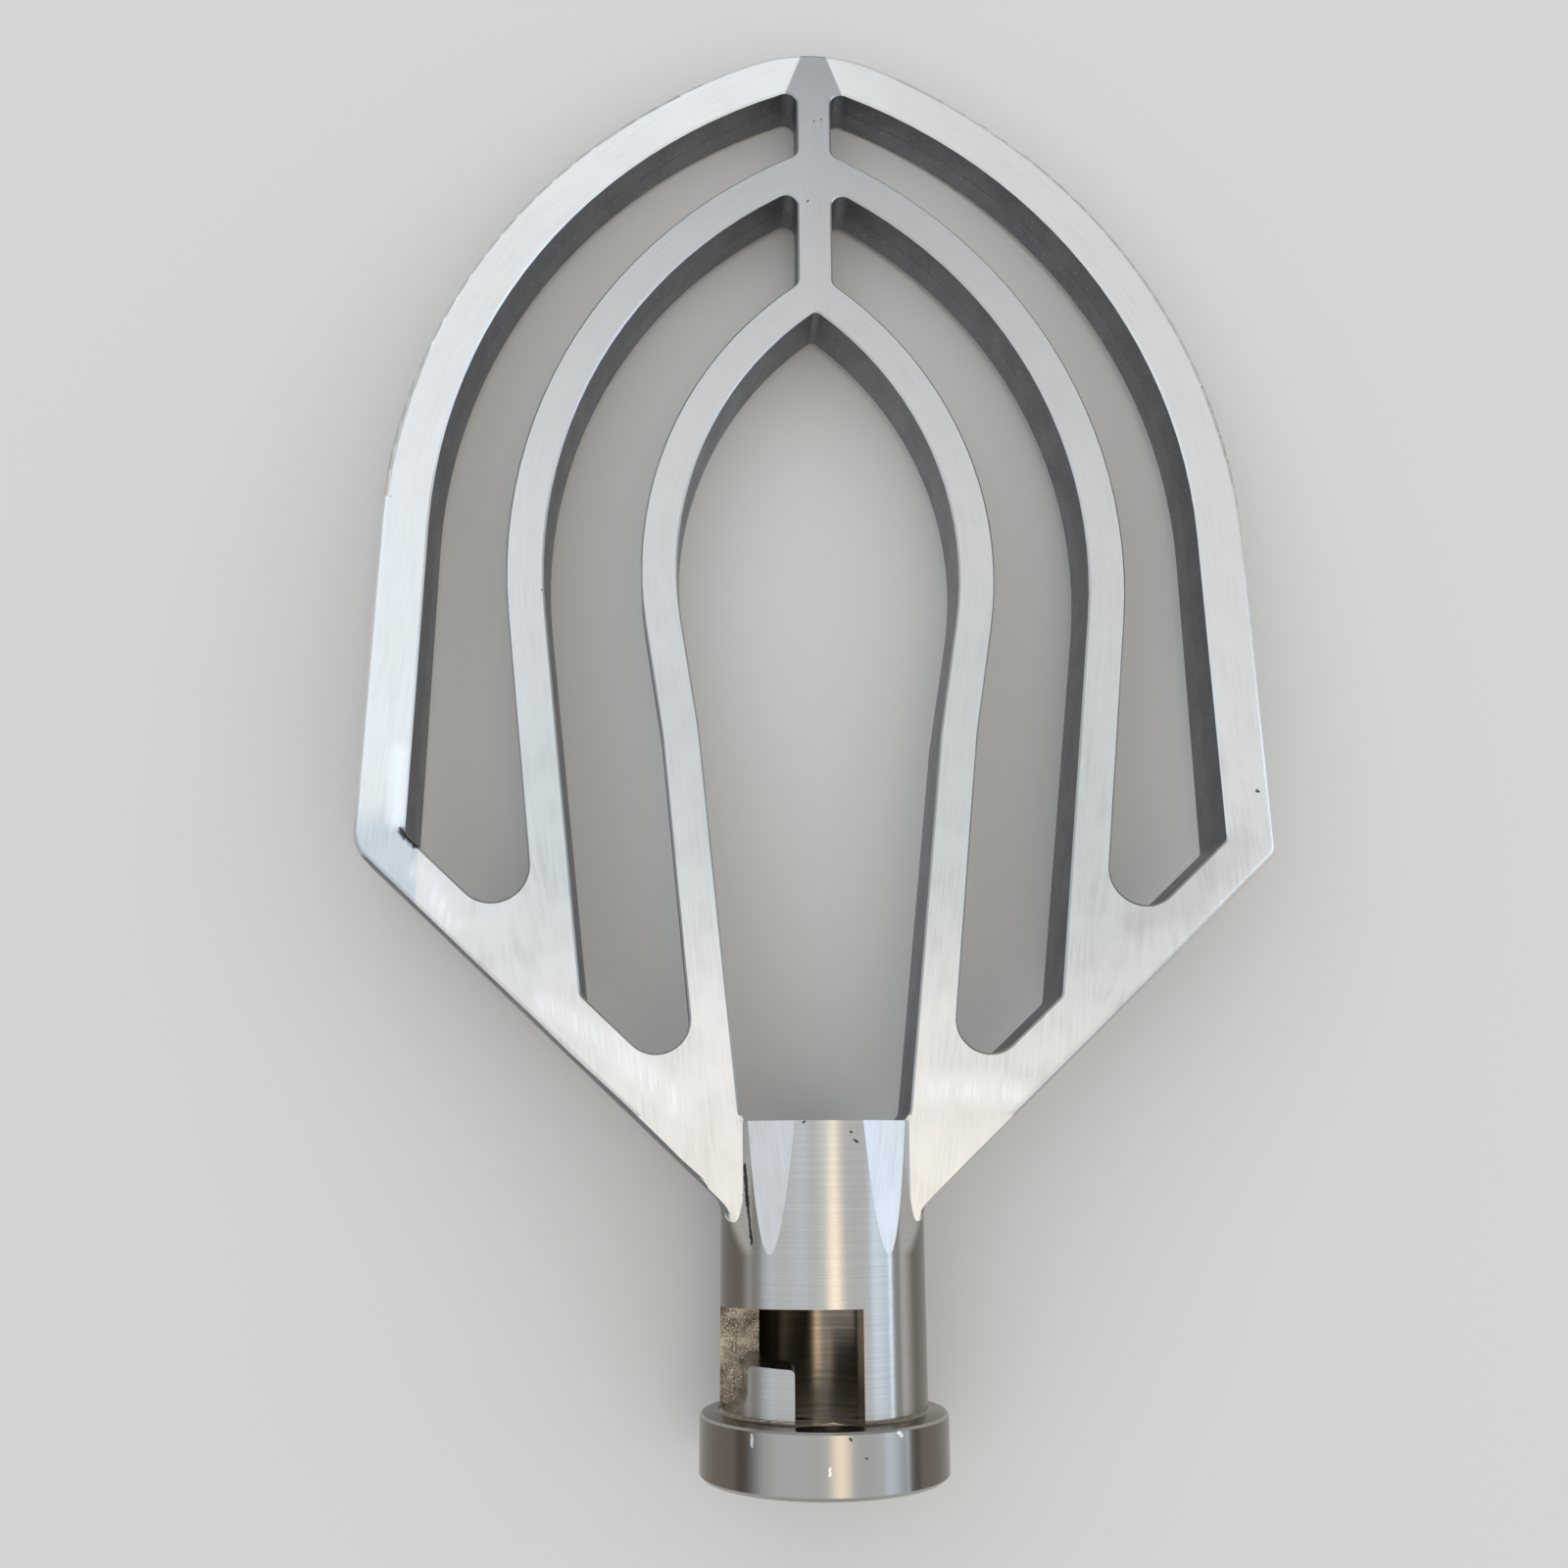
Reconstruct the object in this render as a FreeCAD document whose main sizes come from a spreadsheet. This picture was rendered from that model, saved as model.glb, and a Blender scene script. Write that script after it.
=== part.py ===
import FreeCAD, Part
import math
import os
import re

import Sketcher

# A cast aluminium flat beater for a bench mixer: three nested loops on a centre rib,
# joined by webs to a hub that has a blind shaft bore, a bayonet slot and an end collar.
# It is one casting. In its own axes Y runs from the hub's mouth to the tip, Z is square
# to the loops and Z = 0 is the parting plane of the mould. Lengths in mm, angles in degrees.

sizes = {
    # outline of the outer loop, at its foot next to the parting plane
    "overall_length": 335.1,
    "beater_width": 204.5,
    "tip_radius": 40.3,
    "outer_arch_height": 130.5,
    "side_flare": 1.0,
    "corner_height": 128.6,
    "corner_round": 4.5,
    "worn_corner_round": 9.0,
    "diagonal_angle": 42.8,
    # bars of the loops and the rib between them
    "outer_bar": 11.8,
    "outer_diagonal_bar": 10.4,
    "middle_diagonal_bar": 11.4,
    "rib_width": 9.0,
    "middle_apex_drop": 27.6,
    "middle_arch_height": 110.2,
    "middle_width": 143.7,
    "middle_bar": 9.2,
    "middle_leg_angle": 6.8,
    "inner_apex_drop": 35.1,
    "inner_arch_height": 76.8,
    "inner_width": 82.4,
    "inner_bar": 9.0,
    "inner_leg_angle": 6.2,
    "waist_drop": 39.3,
    "waist_radius": 60.0,
    # corners of the five windows
    "rib_corner_round": 2.5,
    "outer_pocket_radius": 7.5,
    "middle_pocket_radius": 6.75,
    "outer_corner_round": 1.1,
    "middle_corner_round": 1.9,
    "central_apex_round": 1.4,
    "central_floor_height": 70.5,
    "leg_inset": 1.05,
    "central_corner_round": 3.0,
    # thickness, tapering from the webs to the tip, and the draft of the mould
    "tip_thickness": 12.7,
    "web_thickness": 22.0,
    "web_height": 58.5,
    "wall_draft": 1.5,
    "outline_edge_round": 1.5,
    "window_edge_break": 0.4,
    # turned hub and collar
    "hub_diameter": 43.2,
    "collar_step": 4.2,
    "hub_height": 70.8,
    "collar_length": 12.3,
    "shoulder_rise": 0.6,
    "shoulder_fillet": 0.8,
    "collar_edge_break": 0.8,
    "collar_rim_break": 0.4,
    "web_fillet": 5.0,
    # ground flats either side of the hub's crown
    "flat_tilt": 34.0,
    "flat_depth": 0.75,
    "flat_length": 26.3,
    "flat_clearance": 0.2,
    # shaft bore and bayonet slot
    "bore_diameter": 27.0,
    "bore_depth": 52.0,
    "bore_mouth_chamfer": 1.0,
    "slot_top": 34.3,
    "slot_draft": 3.0,
    "entry_right": 6.5,
    "entry_left": 7.3,
    "tongue_top": 22.9,
    "tongue_round": 1.0,
    "notch_wall": 15.9,
    "notch_radius": 6.0,
    "slot_clearance": 0.2,
    "keyway_inset": 0.6,
    # how far a cut runs past the solid that it trims
    "cut_margin": 5.0,
}

# Values that follow from the sizes above, as formulas of the sheet.
derived = {
    "hub_crease": "sqrt((hub_diameter / 2) ^ 2 - (web_thickness / 2) ^ 2)",
    "central_floor_width": "2 * (hub_crease - leg_inset)",
    "collar_diameter": "hub_diameter + 2 * collar_step",
    "keyway_height": "hub_diameter / 2 - keyway_inset",
    "tip_centre": "overall_length - tip_radius",
    "side_top_y": "overall_length - outer_arch_height",
    "side_top_x": "beater_width / 2 - (side_top_y - corner_height) * tan(side_flare)",
    "outer_arch_radius": "(side_top_x ^ 2 + (side_top_y - tip_centre) ^ 2 - tip_radius ^ 2) / 2"
                         " / (side_top_x * cos(side_flare)"
                         " + (side_top_y - tip_centre) * sin(side_flare) - tip_radius)",
    "outer_arch_x": "side_top_x - outer_arch_radius * cos(side_flare)",
    "outer_arch_y": "side_top_y - outer_arch_radius * sin(side_flare)",
    "middle_arch_radius": "(middle_arch_height ^ 2 + (middle_width / 2) ^ 2) / middle_width",
    "middle_arch_x": "middle_width / 2 - middle_arch_radius",
    "middle_arch_y": "overall_length - middle_apex_drop - middle_arch_height",
    "inner_arch_radius": "(inner_arch_height ^ 2 + (inner_width / 2) ^ 2) / inner_width",
    "inner_arch_x": "inner_width / 2 - inner_arch_radius",
    "inner_arch_y": "overall_length - middle_apex_drop - inner_apex_drop - inner_arch_height",
    "waist_x": "central_floor_width / 2"
               " + (inner_arch_y - waist_drop - central_floor_height) * tan(inner_leg_angle) - inner_arch_x",
    "waist_reach": "sqrt(waist_x ^ 2 + waist_drop ^ 2)",
    "waist_angle": "(atan(waist_drop / waist_x)"
                   " - acos((inner_arch_radius - inner_bar) / waist_reach)) / 1 deg",
    "diagonal_reach": "corner_height * cos(diagonal_angle)"
                      " - beater_width / 2 * sin(diagonal_angle)",
    "web_foot": "corner_height - (beater_width - bore_diameter) / 2 * tan(diagonal_angle)",
    "inner_leg_reach": "central_floor_width / 2 * cos(inner_leg_angle)"
                       " - central_floor_height * sin(inner_leg_angle)",
    "face_slope": "atan((web_thickness - tip_thickness) / 2 / (overall_length - web_height))",
    "face_height": "web_thickness / 2 * cos(face_slope) + web_height * sin(face_slope)",
    "flat_reach": "hub_diameter / 2 - flat_depth",
    "flat_run_out": "atan(flat_depth / flat_length)",
    "flat_half_width": "sqrt((hub_diameter / 2) ^ 2 - flat_reach ^ 2) + flat_clearance",
    "shoulder_slope": "atan(collar_step / shoulder_rise)",
}

doc = FreeCAD.newDocument("flat_beater")
sheet = doc.addObject("Spreadsheet::Sheet", "Sizes")
rows = [(name, str(number)) for name, number in sizes.items()]
rows += [(name, "=" + formula) for name, formula in derived.items()]
for row, (name, content) in enumerate(rows, start=1):
    sheet.set("A%d" % row, name)
    sheet.set("B%d" % row, content)
    sheet.setAlias("B%d" % row, name)
doc.recompute()


def bound(text):
    # every alias has an underscore, which no function name has
    return re.sub(r"\b([a-z]+_[a-z_]+)\b", r"Sizes.\1", text)


def value(text):
    result = sheet.evalExpression(bound(text))
    return float(getattr(result, "Value", result))


# Plane curves that a profile is drawn from. Each is passed along in one direction,
# and a positive shift moves it to its left.
class Straight:
    def __init__(self, heading, reach=None, side=1, beside=None):
        # reach is the distance from the sketch's origin, side the sign of it to the left;
        # beside is the circle that the line runs off tangentially instead
        self.heading = heading
        self.reach = reach
        angle = math.radians(value(heading))
        self.along = FreeCAD.Vector(math.cos(angle), math.sin(angle))
        self.left = FreeCAD.Vector(-math.sin(angle), math.cos(angle))
        if beside:
            self.offset = beside.centre * self.left + beside.turn * beside.radius
        else:
            self.offset = side * value(reach)

    def shifted(self, amount):
        other = object.__new__(Straight)
        other.along, other.left, other.offset = self.along, self.left, self.offset + amount
        return other

    def foot(self, point):
        return point + self.left * (self.offset - point * self.left)


class Round:
    def __init__(self, x, y, radius, turn):
        # turn is 1 where the circle is passed clockwise and -1 where it isn't
        self.x, self.y, self.size, self.turn = x, y, radius, turn
        self.centre = FreeCAD.Vector(value(x), value(y))
        self.radius = value(radius)

    def shifted(self, amount):
        other = object.__new__(Round)
        other.centre, other.radius, other.turn = self.centre, self.radius + self.turn * amount, self.turn
        return other

    def foot(self, point):
        return self.centre + (point - self.centre).normalize() * self.radius


def meeting(first, second):
    # where two curves cross; of two crossings, the one nearer the tip
    if isinstance(first, Straight) and isinstance(second, Straight):
        slant = first.along * second.left
        step = (second.offset - first.left * first.offset * second.left) / slant
        return first.left * first.offset + first.along * step
    if isinstance(first, Round) and isinstance(second, Straight):
        first, second = second, first
    if isinstance(first, Straight):
        middle = first.foot(second.centre)
        reach = math.sqrt(second.radius ** 2 - (middle - second.centre).Length ** 2)
        along = first.along
    else:
        gap = second.centre - first.centre
        share = (first.radius ** 2 - second.radius ** 2 + gap.Length ** 2) / (2 * gap.Length)
        middle = first.centre + FreeCAD.Vector(gap).normalize() * share
        reach = math.sqrt(first.radius ** 2 - share ** 2)
        along = FreeCAD.Vector(-gap.y, gap.x).normalize()
    return max(middle + along * reach, middle - along * reach, key=lambda point: point.y)


def corner_points(first, second, corner):
    # the end of the first curve, the start of the second and the centre of the round between
    if corner == "tangent":
        if isinstance(first, Straight):
            point = first.foot(second.centre)
        else:
            point = second.foot(first.centre)
        return point, point, None
    if corner == "sharp":
        point = meeting(first, second)
        return point, point, None
    lines = isinstance(first, Straight) and isinstance(second, Straight)
    left_turn = lines and first.along * second.left < 0
    shift = value(corner) if left_turn else -value(corner)
    centre = meeting(first.shifted(shift), second.shifted(shift))
    return first.foot(centre), second.foot(centre), centre


def add_arc(sketch, centre, radius, start, end):
    # the shorter arc between two points, with the sketch's names of its start and end
    circle = Part.Circle(centre, FreeCAD.Vector(0, 0, 1), radius)
    a = start - centre
    b = end - centre
    if a.x * b.y - a.y * b.x > 0:
        return sketch.addGeometry(Part.ArcOfCircle(circle, math.atan2(a.y, a.x), math.atan2(b.y, b.x))), 1, 2
    return sketch.addGeometry(Part.ArcOfCircle(circle, math.atan2(b.y, b.x), math.atan2(a.y, a.x))), 2, 1


def add_size(sketch, text, kind, *where):
    number = value(text)
    if kind == "Angle":
        number = math.radians(number)
    index = sketch.addConstraint(Sketcher.Constraint(kind, *where, number))
    if "_" in text:
        sketch.setExpression("Constraints[%d]" % index, bound(text))


def draw(sketch, pieces):
    # pieces is a closed run of curves, each with the corner that leads to the next one
    curves = [curve for curve, corner in pieces]
    corners = [corner for curve, corner in pieces]
    joints = [
        corner_points(curve, curves[(i + 1) % len(curves)], corners[i])
        for i, curve in enumerate(curves)
    ]
    chain = []
    for i, curve in enumerate(curves):
        start = joints[i - 1][1]
        end, entry, centre = joints[i]
        if isinstance(curve, Straight):
            index = sketch.addGeometry(Part.LineSegment(start, end))
            chain.append((index, 1, 2, corners[i] != "sharp"))
            add_size(sketch, curve.heading, "Angle", index)
            if curve.reach == "0":
                axis = -1 if abs(curve.along.x) > abs(curve.along.y) else -2
                sketch.addConstraint(Sketcher.Constraint("PointOnObject", index, 1, axis))
            elif curve.reach:
                add_size(sketch, curve.reach, "Distance", -1, 1, index)
        else:
            index, first, last = add_arc(sketch, curve.centre, curve.radius, start, end)
            chain.append((index, first, last, corners[i] != "sharp"))
            add_size(sketch, curve.x, "DistanceX", index, 3)
            add_size(sketch, curve.y, "DistanceY", index, 3)
            add_size(sketch, curve.size, "Radius", index)
        if centre:
            index, first, last = add_arc(sketch, centre, value(corners[i]), end, entry)
            chain.append((index, first, last, True))
            add_size(sketch, corners[i], "Radius", index)
    for i, (index, first, last, smooth) in enumerate(chain):
        following = chain[(i + 1) % len(chain)]
        kind = "Tangent" if smooth else "Coincident"
        sketch.addConstraint(Sketcher.Constraint(kind, index, last, following[0], following[1]))


# The casting and the steps that shape it.
beater = doc.addObject("PartDesign::Body", "flat_beater")
beater.Label = "flat_beater"


def plane(role):
    return next(feature for feature in beater.Origin.OriginFeatures if feature.Role == role)


def profile(name, role, pieces, height=None, slope=None):
    sketch = beater.newObject("Sketcher::SketchObject", name)
    sketch.AttachmentSupport = [(plane(role), "")]
    sketch.MapMode = "FlatFace"
    if slope:
        turn = FreeCAD.Rotation(FreeCAD.Vector(1, 0, 0), value(slope))
        sketch.AttachmentOffset = FreeCAD.Placement(FreeCAD.Vector(), turn)
        sketch.setExpression("AttachmentOffset.Rotation.Angle", bound(slope))
    if height:
        sketch.setExpression("AttachmentOffset.Base.z", bound(height))
    draw(sketch, pieces)
    doc.recompute()
    return sketch


def face_profile(name, pieces):
    # the loops are drawn square to the ground face, which falls from the webs to the tip
    return profile(name, "XY_Plane", pieces, slope="-face_slope")


def shape_step(kind, name, sketch, **bindings):
    step = beater.newObject("PartDesign::" + kind, name)
    step.Profile = sketch
    for key, text in bindings.items():
        step.setExpression(key, bound(text))
    return step


def settle(step, grows):
    # a cut or an addition that leaves the volume as it was points the wrong way
    before = step.BaseFeature.Shape.Volume if step.BaseFeature else 0.0
    doc.recompute()
    change = step.Shape.Volume - before
    if step.isValid() is False or change * grows <= 0:
        raise RuntimeError("%s changes the volume by %.1f" % (step.Name, change))


def edge_names(shape, wanted):
    return ["Edge%d" % i for i, edge in enumerate(shape.Edges, start=1) if wanted(edge)]


def ease_edges(kind, name, base, edges, measure, size):
    step = beater.newObject("PartDesign::" + kind, name)
    step.Base = (base, edges)
    step.setExpression(measure, bound(size))
    doc.recompute()
    return step


# Upper half of the plate: the outer loop's outline, drawn in towards the ground face.
right_arch = Round("outer_arch_x", "outer_arch_y", "outer_arch_radius", 1)
left_arch = Round("-outer_arch_x", "outer_arch_y", "outer_arch_radius", 1)
outline = face_profile("outline", [
    (right_arch, "tangent"),
    (Straight("side_flare - 90", beside=right_arch), "corner_round"),
    (Straight("180 + diagonal_angle", "diagonal_reach", -1), "sharp"),
    (Straight("180", "web_foot", -1), "sharp"),
    (Straight("180 - diagonal_angle", "diagonal_reach", -1), "worn_corner_round"),
    (Straight("90 - side_flare", beside=left_arch), "tangent"),
    (left_arch, "tip_radius"),
])
plate = shape_step("Pad", "plate", outline, Length="face_height", TaperAngle="-wall_draft")
settle(plate, 1)

# Window between the outer and the middle loop, right of the rib.
loop_inside = Round("outer_arch_x", "outer_arch_y", "outer_arch_radius - outer_bar", 1)
loop_outside = Round("middle_arch_x", "middle_arch_y", "middle_arch_radius", -1)
outer_window_outline = face_profile("outer_window_outline", [
    (Straight("90", "rib_width / 2", -1), "rib_corner_round"),
    (loop_inside, "tangent"),
    (Straight("side_flare - 90", beside=loop_inside), "outer_corner_round"),
    (Straight("180 + diagonal_angle", "diagonal_reach + outer_diagonal_bar", -1), "outer_pocket_radius"),
    (Straight("90 - middle_leg_angle", beside=loop_outside), "tangent"),
    (loop_outside, "rib_corner_round"),
])

# Window between the middle and the inner loop, right of the rib.
loop_inside = Round("middle_arch_x", "middle_arch_y", "middle_arch_radius - middle_bar", 1)
loop_outside = Round("inner_arch_x", "inner_arch_y", "inner_arch_radius", -1)
middle_window_outline = face_profile("middle_window_outline", [
    (Straight("90", "rib_width / 2", -1), "rib_corner_round"),
    (loop_inside, "tangent"),
    (Straight("-90 - middle_leg_angle", beside=loop_inside), "middle_corner_round"),
    (Straight("180 + diagonal_angle", "diagonal_reach + middle_diagonal_bar", -1), "middle_pocket_radius"),
    (Straight("90 - inner_leg_angle", "inner_leg_reach + inner_bar", -1), "waist_radius"),
    (Straight("90 - waist_angle", beside=loop_outside), "tangent"),
    (loop_outside, "rib_corner_round"),
])

# Window inside the inner loop, down to the hub's end.
right_arch = Round("inner_arch_x", "inner_arch_y", "inner_arch_radius - inner_bar", 1)
left_arch = Round("-inner_arch_x", "inner_arch_y", "inner_arch_radius - inner_bar", 1)
central_window_outline = face_profile("central_window_outline", [
    (right_arch, "tangent"),
    (Straight("-90 - waist_angle", beside=right_arch), "waist_radius"),
    (Straight("-90 - inner_leg_angle", "inner_leg_reach", 1), "central_corner_round"),
    (Straight("180", "central_floor_height", -1), "central_corner_round"),
    (Straight("90 + inner_leg_angle", "inner_leg_reach", 1), "waist_radius"),
    (Straight("90 + waist_angle", beside=left_arch), "tangent"),
    (left_arch, "central_apex_round"),
])

windows = []
for name, sketch in (
    ("outer_window", outer_window_outline),
    ("middle_window", middle_window_outline),
    ("central_window", central_window_outline),
):
    window = shape_step("Pocket", name, sketch, Length="face_height + cut_margin", TaperAngle="wall_draft")
    window.Reversed = True
    settle(window, -1)
    windows.append(window)

other_side = beater.newObject("PartDesign::Mirrored", "left_windows")
other_side.Originals = windows[:2]
other_side.MirrorPlane = (plane("YZ_Plane"), [""])
beater.Tip = other_side
doc.recompute()

# Edges of the ground face: eased at the windows, rounder along the outline.
face = max(other_side.Shape.Faces, key=lambda f: f.CenterOfMass.z)
rim = face.OuterWire.Edges
window_rims = [edge for wire in face.Wires if not wire.isSame(face.OuterWire) for edge in wire.Edges]
window_edges = ease_edges(
    "Chamfer", "window_edges", other_side,
    edge_names(other_side.Shape, lambda e: any(e.isSame(other) for other in window_rims)),
    "Size", "window_edge_break",
)
rim_middles = [edge.valueAt((edge.FirstParameter + edge.LastParameter) / 2) for edge in rim]
outline_edges = ease_edges(
    "Fillet", "outline_edges", window_edges,
    edge_names(window_edges.Shape, lambda e: any(
        e.valueAt((e.FirstParameter + e.LastParameter) / 2).isEqual(point, 1e-4) for point in rim_middles)),
    "Radius", "outline_edge_round",
)

# Below the parting plane the pad is cut away again.
parting_cut_outline = profile("parting_cut_outline", "YZ_Plane", [
    (Straight("0", "0"), "sharp"),
    (Straight("-90", "overall_length + cut_margin", 1), "sharp"),
    (Straight("180", "web_thickness + cut_margin", 1), "sharp"),
    (Straight("90", "web_foot - cut_margin", -1), "sharp"),
])
parting_cut = shape_step("Pocket", "parting_cut", parting_cut_outline, Length="beater_width + 2 * cut_margin")
parting_cut.SideType = "Symmetric"
settle(parting_cut, -1)

# The lower half mirrors the upper one in the parting plane.
lower_half = beater.newObject("PartDesign::Mirrored", "lower_half")
lower_half.TransformMode = "Whole shape"
lower_half.MirrorPlane = (plane("XY_Plane"), [""])
beater.Tip = lower_half
doc.recompute()

# Hub and collar, turned about the Y axis, from the mouth to the foot of the central window.
hub_outline = profile("hub_outline", "YZ_Plane", [
    (Straight("90", "0"), "sharp"),
    (Straight("45", "(collar_diameter / 2 - collar_edge_break) * cos(45)", 1), "sharp"),
    (Straight("0", "collar_diameter / 2", 1), "sharp"),
    (Straight("-45", "(collar_length + collar_diameter / 2 - collar_rim_break) * cos(45)", 1), "sharp"),
    (Straight("-shoulder_slope", "collar_length * sin(shoulder_slope)"
              " + collar_diameter / 2 * cos(shoulder_slope)", 1), "shoulder_fillet"),
    (Straight("0", "hub_diameter / 2", 1), "sharp"),
    (Straight("-90", "hub_height", 1), "sharp"),
    (Straight("180", "0"), "sharp"),
])
hub = shape_step("Revolution", "hub", hub_outline)
hub.ReferenceAxis = (hub_outline, ["H_Axis"])
hub.Angle = 360
settle(hub, 1)

# Cast fillet where the plate runs into the hub.
hub_radius = value("hub_diameter / 2")


def on_hub(point):
    return abs(math.hypot(point.x, point.z) - hub_radius) < 1e-4


def beside_web(edge):
    ends = [edge.valueAt(edge.FirstParameter + share * (edge.LastParameter - edge.FirstParameter))
            for share in (0.0, 0.3, 0.5, 0.7, 1.0)]
    along = max(point.y for point in ends) - min(point.y for point in ends)
    return all(on_hub(point) for point in ends) and along > 1.0 and edge.Curve.TypeId != "Part::GeomCircle"


seam = [edge for face in hub.Shape.Faces for edge in face.Edges if edge.isSeam(face)]
web_edges = edge_names(hub.Shape, lambda e: beside_web(e) and not any(e.isSame(other) for other in seam))
web_blend = ease_edges("Fillet", "web_blend", hub, web_edges, "Radius", "web_fillet")

# Flats ground on the flanks of the hub, running out towards the slot.
def flat_pieces(lean):
    return [
        (Straight("-(%s)" % lean, "flat_reach", 1), "sharp"),
        (Straight("90 - (%s)" % lean, "flat_half_width", -1), "sharp"),
        (Straight("180 - (%s)" % lean, "flat_reach + cut_margin", -1), "sharp"),
        (Straight("-90 - (%s)" % lean, "flat_half_width", -1), "sharp"),
    ]


flat_outline = profile("flat_outline", "XZ_Plane", flat_pieces("flat_tilt"), "-hub_height")
for lean in ("-flat_tilt", "180 - flat_tilt", "180 + flat_tilt"):
    draw(flat_outline, flat_pieces(lean))
flats = shape_step("Pocket", "flats", flat_outline, Length="flat_length", TaperAngle="-flat_run_out")
flats.Reversed = True
settle(flats, -1)

# Shaft bore with a chamfered mouth.
bore_outline = profile("bore_outline", "YZ_Plane", [
    (Straight("90", "0"), "sharp"),
    (Straight("-45", "(bore_diameter / 2 + bore_mouth_chamfer) * cos(45)", 1), "sharp"),
    (Straight("0", "bore_diameter / 2", 1), "sharp"),
    (Straight("-90", "bore_depth", 1), "sharp"),
    (Straight("180", "0"), "sharp"),
])
bore = shape_step("Groove", "bore", bore_outline)
bore.ReferenceAxis = (bore_outline, ["H_Axis"])
bore.Angle = 360
settle(bore, -1)

# Bayonet slot: entry leg, turn and lock notch, cut from above down to the parting plane.
slot_outline = profile("slot_outline", "XY_Plane", [
    (Straight("0", "slot_top", 1), "sharp"),
    (Straight("-90", "entry_right", 1), "sharp"),
    (Straight("180", "collar_length + slot_clearance", -1), "sharp"),
    (Straight("90", "entry_left", 1), "tongue_round"),
    (Straight("180", "tongue_top", -1), "tongue_round"),
    (Straight("-90", "notch_wall", -1), "notch_radius"),
    (Straight("180", "collar_length + slot_clearance", -1), "sharp"),
    (Straight("90", "hub_diameter / 2 + notch_radius", 1), "sharp"),
], "hub_diameter / 2")
slot = shape_step("Pocket", "slot", slot_outline, Length="hub_diameter / 2", TaperAngle="-slot_draft")
settle(slot, -1)

# Keyway through the collar, in line with the entry leg.
keyway_outline = profile("keyway_outline", "XZ_Plane", [
    (Straight("90 + slot_draft", "entry_left * cos(slot_draft)"
              " - hub_diameter / 2 * sin(slot_draft)", 1), "sharp"),
    (Straight("0", "keyway_height", 1), "sharp"),
    (Straight("-90 - slot_draft", "entry_right * cos(slot_draft)"
              " - hub_diameter / 2 * sin(slot_draft)", 1), "sharp"),
    (Straight("180", "bore_diameter / 4", -1), "sharp"),
])
keyway = shape_step("Pocket", "keyway", keyway_outline, Length="collar_length + shoulder_rise")
settle(keyway, -1)

failed = [item.Name for item in doc.Objects if "Invalid" in item.State or "Error" in item.State]
if failed or beater.Shape.isNull() or not beater.Shape.isValid() or len(beater.Shape.Solids) != 1:
    raise RuntimeError("failed: %s" % failed)

# It rests on the collar's rim and the tip: the line under both gives the tilt.
points = beater.Shape.tessellate(0.05)[0]
balance = beater.Shape.CenterOfGravity.y
low = min((point for point in points if point.y < balance), key=lambda point: point.z)
for side in (1, -1, 1, -1):
    beyond = [point for point in points if (point.y - balance) * side > 0]
    slope = min(beyond, key=lambda point: math.atan2(point.z - low.z, (point.y - low.y) * side))
    tilt = math.atan2((slope.z - low.z) * side, (slope.y - low.y) * side)
    low = slope
beater.Placement = FreeCAD.Placement(
    FreeCAD.Vector(), FreeCAD.Rotation(FreeCAD.Vector(1, 0, 0), -math.degrees(tilt)))
box = beater.Shape.optimalBoundingBox()
beater.Placement.Base = FreeCAD.Vector(-box.Center.x, -box.Center.y, -box.ZMin)
doc.recompute()

os.makedirs("parts", exist_ok=True)
beater.Shape.exportStep("parts/flat_beater.step")
print("volume %.0f mm3, tilt %.3f" % (beater.Shape.Volume, math.degrees(tilt)))
print(beater.Placement)
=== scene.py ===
import math

import bpy
from mathutils import Matrix, Vector

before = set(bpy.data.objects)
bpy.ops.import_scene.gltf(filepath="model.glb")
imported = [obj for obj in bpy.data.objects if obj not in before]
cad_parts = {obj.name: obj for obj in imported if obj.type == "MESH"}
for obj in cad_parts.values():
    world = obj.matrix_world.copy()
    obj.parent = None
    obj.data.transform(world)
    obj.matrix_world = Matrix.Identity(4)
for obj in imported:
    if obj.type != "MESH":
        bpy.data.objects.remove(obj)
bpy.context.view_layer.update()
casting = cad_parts["flat_beater"]
print("frame loaded:", len(casting.data.polygons), "faces")

# The beater's own axes inside the row frame: x across, y from the mouth to the tip, z square to the loops.
lie = {
    "tilt": 3.45619,                               # degrees, tip down
    "mouth": Vector((0, -0.166575, 0.0264827)),    # metres
}
mmPerMetre = 1000.0
lieAngle = math.radians(-lie["tilt"])
toOwn = (Matrix.Translation(lie["mouth"]) @ Matrix.Rotation(lieAngle, 4, "X")).inverted()
turnToOwn = toOwn.to_3x3()
hubAxis = turnToOwn.inverted() @ Vector((0, 1, 0))


def linearColour(hexText):
    # sRGB hex to linear, with full alpha
    parts = [int(hexText[i:i + 2], 16) / 255 for i in (1, 3, 5)]
    return [c / 12.92 if c <= 0.04045 else ((c + 0.055) / 1.055) ** 2.4 for c in parts] + [1]


def addNode(tree, kind, settings=None, links=None):
    # settings go to properties by name or to sockets by number or name; links maps a socket to an output
    # a mix node takes numbers at 2 and 3, vectors at 4 and 5, colours at 6 and 7; its outputs are 0, 1 and 2
    node = tree.nodes.new("ShaderNode" + kind)
    for key, setting in (settings or {}).items():
        if isinstance(key, str) and hasattr(node, key):
            setattr(node, key, setting)
        else:
            node.inputs[key].default_value = setting
    for key, output in (links or {}).items():
        tree.links.new(output, node.inputs[key])
    return node


def newMaterial(name):
    material = bpy.data.materials.new(name)
    material.use_nodes = True
    material.node_tree.nodes.clear()
    return material, material.node_tree


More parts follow.
